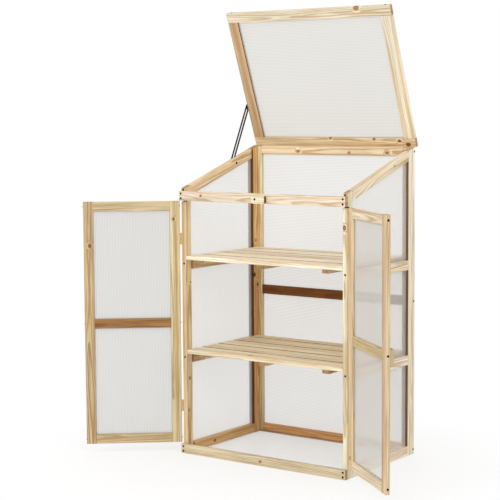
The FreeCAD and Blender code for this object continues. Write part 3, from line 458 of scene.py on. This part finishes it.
def twin_wall(node, ribs_follow, tint=OPAL, clear=0.70, milk=0.50, ribs=PALE_RIB, rib_share=0.80):
    """Opal twin-wall sheet with a soft gloss.

    Ribs_follow is the way in which rib follows rib. Clear is the share of light
    that goes straight through, rib_share how much of that passes a rib, and milk
    the share of the rest that the sheet scatters on."""
    material, tree = blank_material("Opal twin-wall polycarbonate, " + node.replace("_", " "))
    where = add(tree, "ShaderNodeTexCoord")
    along = add(tree, "ShaderNodeVectorMath",
                {0: where.outputs["Object"], 1: tuple(ribs_follow.normalized())},
                operation="DOT_PRODUCT").outputs["Value"]
    steps = add(tree, "ShaderNodeMath", {0: along, 1: RIB_STEP}, operation="DIVIDE")
    part = add(tree, "ShaderNodeMath", {0: steps}, operation="FRACT")
    from_rib = add(tree, "ShaderNodeMath", {0: part, 1: 0.5}, operation="SUBTRACT")
    off_rib = add(tree, "ShaderNodeMath", {0: from_rib}, operation="ABSOLUTE")
    rib = add(tree, "ShaderNodeMapRange",
              {"Value": off_rib, "From Min": RIB_CORE, "From Max": RIB_EDGE, "To Min": 1.0, "To Max": 0.0},
              interpolation_type="SMOOTHSTEP")
    cloud = add(tree, "ShaderNodeTexNoise",
                {"Vector": where.outputs["Object"], "Scale": 1.0 / CLOUD_SIZE, "Detail": 2.0})
    even = add(tree, "ShaderNodeMapRange",
               {"Value": cloud, "From Min": 0.3, "From Max": 0.7, "To Min": 0.985, "To Max": 1.01})
    base = add(tree, "ShaderNodeMix", {0: rib, 6: linear(tint), 7: linear(ribs)},
               data_type="RGBA").outputs[2]
    shaded = add(tree, "ShaderNodeVectorMath", {0: base, "Scale": even}, operation="SCALE")
    relief = add(tree, "ShaderNodeBump", {"Height": rib, "Strength": 0.15, "Distance": 0.2 * MM})
    skin = add(tree, "ShaderNodeBsdfPrincipled",
               {"Base Color": shaded, "Roughness": 0.32, "IOR": 1.585, "Specular IOR Level": 0.4,
                "Normal": relief})
    glow = add(tree, "ShaderNodeBsdfTranslucent", {"Color": shaded})
    milky = add(tree, "ShaderNodeMixShader", {0: milk, 1: skin, 2: glow})
    see = add(tree, "ShaderNodeBsdfTransparent", {"Color": (1, 1, 1, 1)})
    window = add(tree, "ShaderNodeMapRange", {"Value": rib, "To Min": clear, "To Max": clear * rib_share})
    whole = add(tree, "ShaderNodeMixShader", {0: window, 1: milky, 2: see})
    add(tree, "ShaderNodeOutputMaterial", {"Surface": whole})
    frame["nodes"][node].material_slots[0].material = material


twin_wall("left_door_panels", door_swing["left"] @ RIGHT, "#F6F4F0", clear=0.50, milk=0.70,
          ribs=DOOR_RIB, rib_share=0.5)
twin_wall("right_door_panels", door_swing["right"] @ RIGHT, "#FFFAF2", clear=0.62, milk=0.60,
          ribs=DOOR_RIB, rib_share=0.5)
twin_wall("left_side_panels", UP, "#FBF8F4")
twin_wall("right_side_panels", UP)
twin_wall("back_panels", UP, "#F3EFE9")
twin_wall("floor_panel", BACK, clear=0.86, milk=0.15)
twin_wall("lid_panel", lid_up, "#FCF8F1", clear=0.50, milk=0.70, ribs=GREY_RIB, rib_share=0.6)

# Ironwork: brassed butt hinges with their pins, and the black lacquered stay with
# its bolt, washers and wing nut. Both are satin and a little uneven.
BLACK_MOTTLE, BLACK_GRAIN, BRASS_MOTTLE = 7.143 * MM, 0.3846 * MM, 11.11 * MM


def black_steel(name, colour, worn, roughness, gloss):
    """Blackened steel: near black, satin, faintly mottled, its fine grain drawn coarser than real.

    Phosphated screws are duller than the lacquered stay."""
    material, tree = blank_material("Blackened steel, " + name)
    where = add(tree, "ShaderNodeTexCoord")
    mottle = add(tree, "ShaderNodeTexNoise",
                 {"Vector": where.outputs["Object"], "Scale": 1.0 / BLACK_MOTTLE, "Detail": 3.0})
    tint = add(tree, "ShaderNodeMix", {0: mottle, 6: linear(colour), 7: linear(worn)},
               data_type="RGBA").outputs[2]
    rough = add(tree, "ShaderNodeMapRange",
                {"Value": mottle, "To Min": roughness - 0.08, "To Max": roughness + 0.12})
    grain = add(tree, "ShaderNodeTexNoise",
                {"Vector": where.outputs["Object"], "Scale": 1.0 / BLACK_GRAIN, "Detail": 1.0})
    relief = add(tree, "ShaderNodeBump", {"Height": grain, "Strength": 0.12, "Distance": 0.1 * MM})
    surface = add(tree, "ShaderNodeBsdfPrincipled",
                  {"Base Color": tint, "Roughness": rough, "Specular IOR Level": gloss, "Normal": relief})
    add(tree, "ShaderNodeOutputMaterial", {"Surface": surface})
    return material


def brassed_steel():
    """Brass-plated pressed steel: dull warm yellow with a soft sheen."""
    material, tree = blank_material("Brassed steel, hinges")
    where = add(tree, "ShaderNodeTexCoord")
    mottle = add(tree, "ShaderNodeTexNoise",
                 {"Vector": where.outputs["Object"], "Scale": 1.0 / BRASS_MOTTLE, "Detail": 3.0})
    tint = add(tree, "ShaderNodeMix", {0: mottle, 6: linear("#F0D9A6"), 7: linear("#D2AF74")},
               data_type="RGBA").outputs[2]
    rough = add(tree, "ShaderNodeMapRange", {"Value": mottle, "To Min": 0.38, "To Max": 0.58})
    surface = add(tree, "ShaderNodeBsdfPrincipled",
                  {"Base Color": tint, "Metallic": 0.9, "Roughness": rough})
    add(tree, "ShaderNodeOutputMaterial", {"Surface": surface})
    return material


lacquered = black_steel("stay", "#0C0C0D", "#161618", 0.45, 0.3)
brass = brassed_steel()
for metal, nodes in ((lacquered, ("stay_arm", "stay_bolt", "stay_wing_nut")),
                     (brass, ("frame_hinge_leaves", "left_door_hinge_leaves", "right_door_hinge_leaves",
                              "lid_hinge_leaves", "hinge_pins"))):
    for node in nodes:
        frame["nodes"][node].material_slots[0].material = metal

# Screws: domed wood screws with a cross recess, black phosphated at every joint
# and brassed in the hinges. Their places and sizes are read from the solids that
# they replace; one head and one shank are drawn and set on every place.
HEAD_SIDES, HEAD_RINGS, SHANK_SIDES = 24, 12, 14
# Shares of the head's radius, and of its height
RECESS_LENGTH, RECESS_WIDTH, RECESS_DEPTH = 1.15, 0.24, 0.95
# Radii: a wider head belongs to the stay screw, and a thinner shank to a hinge screw.
WIDEST_HEAD, THINNEST_BLACK_SHANK = 5.0 * MM, 1.5 * MM
END_SLICE = 0.5 * MM
HEAD_OVER_SHANK = 1.2
# A cross looks the same after a quarter turn, so no screw is turned further. In radians
QUARTER_TURN = 1.5708


def loose_parts(node):
    """The corner points of each separate solid of a node."""
    work = bmesh.new()
    work.from_mesh(frame["nodes"][node].data)
    bmesh.ops.remove_doubles(work, verts=work.verts, dist=1e-6)
    parts, seen = [], set()
    for start in work.verts:
        if start in seen:
            continue
        stack, part = [start], []
        seen.add(start)
        while stack:
            vert = stack.pop()
            part.append(vert.co.copy())
            for edge in vert.link_edges:
                other = edge.other_vert(vert)
                if other not in seen:
                    seen.add(other)
                    stack.append(other)
        parts.append(part)
    work.free()
    return parts


def read_screw(part):
    """Where a screw's head sits, the way it looks, and the sizes of its head and shank."""
    points = np.array([tuple(p) for p in part])
    middle = points.mean(axis=0)
    way = np.linalg.svd(points - middle, full_matrices=False)[2][0]
    along = (points - middle) @ way
    off_axis = np.linalg.norm(points - middle - np.outer(along, way), axis=1)
    if off_axis[along > along.max() - END_SLICE].max() < off_axis[along < along.min() + END_SLICE].max():
        way, along = -way, -along
    shank = off_axis[along < along.min() + END_SLICE].max()
    wide = along[off_axis > shank * HEAD_OVER_SHANK]
    base, top = wide.min(), wide.max()
    return {"seat": tuple(middle + way * base), "way": tuple(way), "head": float(off_axis.max()),
            "rise": float(top - base), "shank": float(shank), "length": float(base - along.min())}


def screw_tree():
    """One cross-head screw, set on every place by the sizes stored there, each turned by chance."""
    tree, given, made = group_tree(
        "Cross-head wood screws", "GeometryNodeTree",
        (("Places", "Geometry"), ("Head sides", "Int"), ("Recess width", "Float"),
         ("Recess depth", "Float"), ("Seed", "Int"), ("Black", "Material"), ("Brassed", "Material")),
        (("Screws", "Geometry"),))
    stored = {}
    for name, kind in (("way", "FLOAT_VECTOR"), ("head", "FLOAT"), ("rise", "FLOAT"), ("shank", "FLOAT"),
                       ("length", "FLOAT"), ("brassed", "BOOLEAN")):
        stored[name] = add(tree, "GeometryNodeInputNamedAttribute", {"Name": name}, data_type=kind)

    # The head is a ball with its lower half pressed flat, and two crossed bars cut out of its top.
    ball = add(tree, "GeometryNodeMeshUVSphere",
               {"Segments": given["Head sides"], "Rings": HEAD_RINGS, "Radius": 1.0})
    corner = add(tree, "ShaderNodeSeparateXYZ", {0: add(tree, "GeometryNodeInputPosition")}).outputs
    above = add(tree, "ShaderNodeMath", {0: corner["Z"], 1: 0.0}, operation="MAXIMUM")
    pressed = add(tree, "ShaderNodeCombineXYZ", {"X": corner["X"], "Y": corner["Y"], "Z": above})
    dome = add(tree, "GeometryNodeSetPosition", {"Geometry": ball, "Position": pressed})
    recessed = add(tree, "GeometryNodeMeshBoolean", {"Mesh 1": dome, "Self Intersection": True},
                   operation="DIFFERENCE", solver="EXACT")
    for long_axis, short_axis in (("X", "Y"), ("Y", "X")):
        size = add(tree, "ShaderNodeCombineXYZ",
                   {long_axis: RECESS_LENGTH, short_axis: given["Recess width"],
                    "Z": given["Recess depth"]})
        bar = add(tree, "GeometryNodeMeshCube", {"Size": size})
        raised = add(tree, "GeometryNodeTransform", {"Geometry": bar, "Translation": (0, 0, 1.0)})
        tree.links.new(raised.outputs[0], recessed.inputs["Mesh 2"])
    head = add(tree, "GeometryNodeMergeByDistance", {"Geometry": recessed, "Distance": 0.001})
    rod = add(tree, "GeometryNodeMeshCylinder", {"Vertices": SHANK_SIDES, "Radius": 1.0, "Depth": 1.0})
    shank = add(tree, "GeometryNodeTransform", {"Geometry": rod, "Translation": (0, 0, -0.5)})

    spin = add(tree, "FunctionNodeRandomValue", {"Seed": given["Seed"], 3: QUARTER_TURN},
               data_type="FLOAT").outputs[1]
    aimed = add(tree, "FunctionNodeAlignRotationToVector", {"Vector": stored["way"]}, axis="Z")
    turn_by = add(tree, "FunctionNodeAxisAngleToRotation", {"Axis": (0, 0, 1), "Angle": spin})
    turned = add(tree, "FunctionNodeRotateRotation", {0: aimed, 1: turn_by}, rotation_space="LOCAL")
    both = add(tree, "GeometryNodeJoinGeometry")
    for shape, width, length in ((head, stored["head"], stored["rise"]),
                                 (shank, stored["shank"], stored["length"])):
        scale = add(tree, "ShaderNodeCombineXYZ", {"X": width, "Y": width, "Z": length})
        placed = add(tree, "GeometryNodeInstanceOnPoints",
                     {"Points": given["Places"], "Instance": shape, "Rotation": turned, "Scale": scale})
        tree.links.new(placed.outputs[0], both.inputs[0])
    real = add(tree, "GeometryNodeRealizeInstances", {0: both})
    black = add(tree, "GeometryNodeSetMaterial", {"Geometry": real, "Material": given["Black"]})
    finished = add(tree, "GeometryNodeSetMaterial",
                   {"Geometry": black, "Selection": stored["brassed"], "Material": given["Brassed"]})
    tree.links.new(finished.outputs[0], made["Screws"])
    return tree


SCREW_TREE = screw_tree()
phosphated = black_steel("screws", "#020202", "#070707", 0.80, 0.06)


def set_screws(node, body, seed):
    """Every screw of a node as one mesh."""
    screws = [one for one in map(read_screw, loose_parts(node)) if one["head"] < WIDEST_HEAD]
    places = bpy.data.meshes.new(node + "_places")
    places.from_pydata([one["seat"] for one in screws], [], [])
    ways = places.attributes.new("way", "FLOAT_VECTOR", "POINT")
    ways.data.foreach_set("vector", [c for one in screws for c in one["way"]])
    for name in ("head", "rise", "shank", "length"):
        lengths = places.attributes.new(name, "FLOAT", "POINT")
        lengths.data.foreach_set("value", [one[name] for one in screws])
    brassed = places.attributes.new("brassed", "BOOLEAN", "POINT")
    brassed.data.foreach_set("value", [one["shank"] < THINNEST_BLACK_SHANK for one in screws])
    holder = bpy.data.objects.new(node + "_set", places)
    bpy.context.scene.collection.objects.link(holder)
    setting = holder.modifiers.new("screws", "NODES")
    setting.node_group = SCREW_TREE
    sockets = {item.name: item.identifier for item in SCREW_TREE.interface.items_tree
               if item.in_out == "INPUT"}
    for label, value in (("Head sides", HEAD_SIDES), ("Recess width", RECESS_WIDTH),
                         ("Recess depth", RECESS_DEPTH), ("Seed", seed), ("Black", phosphated),
                         ("Brassed", brass)):
        setting[sockets[label]] = value
    mesh = bpy.data.meshes.new_from_object(holder.evaluated_get(bpy.context.evaluated_depsgraph_get()))
    bpy.data.objects.remove(holder)
    mesh.name = "cross_head_" + node
    piece = bpy.data.objects.new("cross_head_" + node, mesh)
    bpy.context.scene.collection.objects.link(piece)
    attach(piece, body)
    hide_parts(node)


SCREWED_BODIES = ("frame", "lower_shelf", "upper_shelf", "left_door", "right_door", "lid")
for seed, body in enumerate(SCREWED_BODIES, start=1):
    set_screws(body + "_screws", body, seed)

# Stay screw: the shouldered steel screw in the lid's left edge that the stay
# swings on, with its spacer tube. Turned from bar, head domed, lacquered black.
# It lies along X. Its ends and shoulders are read from the solid it replaces.
STAY_SCREW_SIDES = 32
SAME_PLACE = 0.02 * MM
WIDEST_SHANK = 4.0 * MM
EDGE_BREAK, TIP_LENGTH, TIP_SHARE = 0.3 * MM, 2.0 * MM, 0.5
# So far in from its end, the head is this share of its full radius.
HEAD_DOME = ((0.1 * MM, 0.45), (0.3 * MM, 0.8), (0.9 * MM, 0.97), (1.2 * MM, 1.0))

points = next(part for part in loose_parts("lid_screws") if read_screw(part)["head"] > WIDEST_HEAD)
axis = sum(points, Vector()) / len(points)
stops = sorted({round(p.x, 5) for p in points})
radii = []
for x in stops:
    radii.append(max(math.hypot(p.y - axis.y, p.z - axis.z) for p in points if abs(p.x - x) < SAME_PLACE))
wide, thin = max(radii), min(radii)
head_left, tip = stops[0], stops[-1]
head_right, spacer_left, spacer_right = [x for x, r in zip(stops, radii) if r > WIDEST_SHANK][1:4]
outline = [(head_left + HEAD_DOME[0][0], 0.0)]
outline += [(head_left + inset, wide * share) for inset, share in HEAD_DOME]
outline += [(head_right, wide), (head_right, thin),
            (spacer_left, thin), (spacer_left, wide - EDGE_BREAK), (spacer_left + EDGE_BREAK, wide),
            (spacer_right - EDGE_BREAK, wide), (spacer_right, wide - EDGE_BREAK), (spacer_right, thin),
            (tip - TIP_LENGTH, thin), (tip, thin * TIP_SHARE), (tip, 0.0)]
lathe = bmesh.new()
rows = []
for x, r in outline:
    angles = [2.0 * math.pi * i / STAY_SCREW_SIDES for i in range(STAY_SCREW_SIDES if r else 1)]
    rows.append([lathe.verts.new((x, axis.y + r * math.cos(a), axis.z + r * math.sin(a))) for a in angles])
for row, next_row in zip(rows, rows[1:]):
    for i in range(STAY_SCREW_SIDES):
        j = (i + 1) % STAY_SCREW_SIDES
        corners = [row[i % len(row)], row[j % len(row)], next_row[j % len(next_row)],
                   next_row[i % len(next_row)]]
        lathe.faces.new(list(dict.fromkeys(corners)))
bmesh.ops.recalc_face_normals(lathe, faces=lathe.faces)
stay_screw_mesh = bpy.data.meshes.new("stay_screw")
lathe.to_mesh(stay_screw_mesh)
lathe.free()
stay_screw_mesh.materials.append(lacquered)
stay_screw = bpy.data.objects.new("stay_screw", stay_screw_mesh)
bpy.context.scene.collection.objects.link(stay_screw)
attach(stay_screw, "lid")
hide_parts("lid_screws")

# Studio: a paper floor in a soft white room, both seen white, two softboxes, and a
# camera where the photograph was taken from. Only near the greenhouse does the
# floor keep a faint shadow. As light, the room is a little less bright.
FLOOR_REACH = 30.0
FADE_START, FADE_END, LEAST_GLOW = 0.45, 1.25, 0.60
ROOM_BRIGHTNESS = 0.90
FOCAL_PIXELS, PHOTO_PIXELS, SENSOR_WIDTH = 1450.09, 500.0, 36.0
CAMERA_PLACE = Vector((3.13828, -4.39111, 1.34582))
RIGHT_OF_FRONT, LOOKS_DOWN, LEANS = math.radians(35.95), math.radians(5.54), math.radians(-0.37)


def seen_white(tree):
    """One for rays from the camera, off a gloss or through a sheet, zero for those that carry light."""
    ray = add(tree, "ShaderNodeLightPath").outputs
    seen = add(tree, "ShaderNodeMath", {0: ray["Is Camera Ray"], 1: ray["Is Glossy Ray"]},
               operation="MAXIMUM")
    return add(tree, "ShaderNodeMath", {0: seen, 1: ray["Is Transmission Ray"]}, operation="MAXIMUM")


floor_mesh = bpy.data.meshes.new("floor")
floor_corners = [(x * FLOOR_REACH, y * FLOOR_REACH, 0) for x, y in ((-1, -1), (1, -1), (1, 1), (-1, 1))]
floor_mesh.from_pydata(floor_corners, [], [(0, 1, 2, 3)])
floor = bpy.data.objects.new("floor", floor_mesh)
bpy.context.scene.collection.objects.link(floor)
paper, tree = blank_material("White paper floor")
where = add(tree, "ShaderNodeTexCoord")
from_middle = add(tree, "ShaderNodeVectorMath", {0: where.outputs["Object"]}, operation="LENGTH")
fade = add(tree, "ShaderNodeMapRange",
           {"Value": from_middle.outputs["Value"], "From Min": FADE_START, "From Max": FADE_END,
            "To Min": LEAST_GLOW}, interpolation_type="SMOOTHSTEP")
share = add(tree, "ShaderNodeMath", {0: fade, 1: seen_white(tree)}, operation="MULTIPLY")
skin = add(tree, "ShaderNodeBsdfDiffuse", {"Color": linear("#FAFAFA")})
glow = add(tree, "ShaderNodeEmission", {"Color": (1, 1, 1, 1), "Strength": 1.0})
surface = add(tree, "ShaderNodeMixShader", {0: share, 1: skin, 2: glow})
add(tree, "ShaderNodeOutputMaterial", {"Surface": surface})
floor_mesh.materials.append(paper)

world = bpy.data.worlds.new("Soft white room")
bpy.context.scene.world = world
world.use_nodes = True
tree = world.node_tree
tree.nodes.clear()
room = add(tree, "ShaderNodeBackground", {"Color": (1, 1, 1, 1), "Strength": ROOM_BRIGHTNESS})
white = add(tree, "ShaderNodeBackground", {"Color": (1, 1, 1, 1), "Strength": 1.0})
either = add(tree, "ShaderNodeMixShader", {0: seen_white(tree), 1: room, 2: white})
add(tree, "ShaderNodeOutputWorld", {"Surface": either})


def softbox(name, place, target, size, power):
    """A square area lamp, in metres and watts, turned to its target."""
    data = bpy.data.lights.new(name, "AREA")
    data.shape, data.size, data.energy = "SQUARE", size, power
    holder = bpy.data.objects.new(name, data)
    holder.location = place
    holder.rotation_euler = (Vector(target) - Vector(place)).to_track_quat("-Z", "Y").to_euler()
    bpy.context.scene.collection.objects.link(holder)


softbox("key softbox", (4.2, -3.0, 4.0), (0.0, 0.2, 0.7), 2.4, 60.0)
softbox("front softbox", (-0.5, -3.9, 3.9), (0.0, 0.2, 0.6), 2.8, 51.0)

forward = Vector((-math.sin(RIGHT_OF_FRONT) * math.cos(LOOKS_DOWN),
                  math.cos(RIGHT_OF_FRONT) * math.cos(LOOKS_DOWN), -math.sin(LOOKS_DOWN)))
level = Vector((math.cos(RIGHT_OF_FRONT), math.sin(RIGHT_OF_FRONT), 0.0))
upright = level.cross(forward)
picture_right = level * math.cos(LEANS) + upright * math.sin(LEANS)
picture_up = -level * math.sin(LEANS) + upright * math.cos(LEANS)
lens = bpy.data.cameras.new("camera")
lens.sensor_width, lens.sensor_fit = SENSOR_WIDTH, "HORIZONTAL"
lens.lens = FOCAL_PIXELS / PHOTO_PIXELS * SENSOR_WIDTH
lens.clip_end = 100.0
camera = bpy.data.objects.new("camera", lens)
camera_turn = Matrix((picture_right, picture_up, -forward)).transposed().to_4x4()
camera.matrix_world = Matrix.Translation(CAMERA_PLACE) @ camera_turn
bpy.context.scene.collection.objects.link(camera)
bpy.context.scene.camera = camera
bpy.context.scene.view_settings.view_transform = "Standard"
